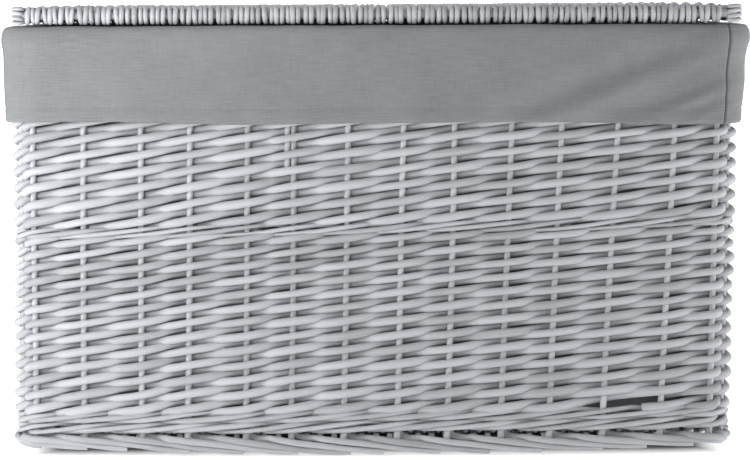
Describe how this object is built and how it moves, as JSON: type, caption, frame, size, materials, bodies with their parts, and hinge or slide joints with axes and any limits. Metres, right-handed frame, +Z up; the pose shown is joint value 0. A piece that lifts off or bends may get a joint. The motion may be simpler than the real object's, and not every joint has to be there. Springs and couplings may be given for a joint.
{
  "type": "lidded laundry basket",
  "caption": "Rectangular woven willow hamper with a lid hinged at the back and a cloth liner whose cuff folds over the rim.",
  "frame": {"origin": "middle of the footprint, on the floor", "axes": "+X to the right along the width, +Y to the back where the hinge is, +Z up"},
  "size_m": [0.614, 0.412, 0.367],
  "materials": {
    "woven_willow": "pale grey paint on peeled willow, satin, with rubbed and shaded streaks",
    "foot_willow": "pale grey paint on thick willow rods, satin, worn along the edges",
    "stick_willow": "pale grey paint on straight willow sticks, satin",
    "lid_willow": "pale grey paint on thin willow rods, satin",
    "loop_willow": "pale grey paint on twisted willow",
    "linen": "mid-grey plain-weave linen and cotton cloth, matt, with slubs"
  },
  "bodies": {
    "basket": {"foot_border_front": "foot_willow", "foot_border_back": "foot_willow", "foot_border_left": "foot_willow", "foot_border_right": "foot_willow", "base_sticks": "stick_willow", "base_weave": "woven_willow", "base_wale_front": "woven_willow", "base_wale_back": "woven_willow", "base_wale_left": "woven_willow", "base_wale_right": "woven_willow", "stakes_front": "stick_willow", "stakes_back": "stick_willow", "stakes_left": "stick_willow", "stakes_right": "stick_willow", "lower_weave_front": "woven_willow", "lower_weave_back": "woven_willow", "lower_weave_left": "woven_willow", "lower_weave_right": "woven_willow", "middle_wale_front": "woven_willow", "middle_wale_back": "woven_willow", "middle_wale_left": "woven_willow", "middle_wale_right": "woven_willow", "upper_weave_front": "woven_willow", "upper_weave_back": "woven_willow", "upper_weave_left": "woven_willow", "upper_weave_right": "woven_willow", "rim_border_front": "woven_willow", "rim_border_back": "woven_willow", "rim_border_left": "woven_willow", "rim_border_right": "woven_willow", "hinge_loop_left": "loop_willow", "hinge_loop_right": "loop_willow", "liner_front": "linen", "liner_back": "linen", "liner_left": "linen", "liner_right": "linen", "liner_floor": "linen", "cuff_front": "linen", "cuff_back": "linen", "cuff_left": "linen", "cuff_right": "linen"},
    "lid": {"lid_front_stick": "stick_willow", "lid_hinge_stick": "stick_willow", "lid_inner_sticks": "stick_willow", "lid_weave": "lid_willow", "lid_front_wraps": "lid_willow", "lid_rear_wraps": "lid_willow", "lid_left_plait": "lid_willow", "lid_right_plait": "lid_willow"}
  },
  "joints": [
    {"name": "lid_hinge", "type": "hinge", "parent": "basket", "child": "lid", "pos_m": [0, 0.1915, 0.3595], "axis": [-1, 0, 0], "range_deg": [0, 110]}
  ]
}
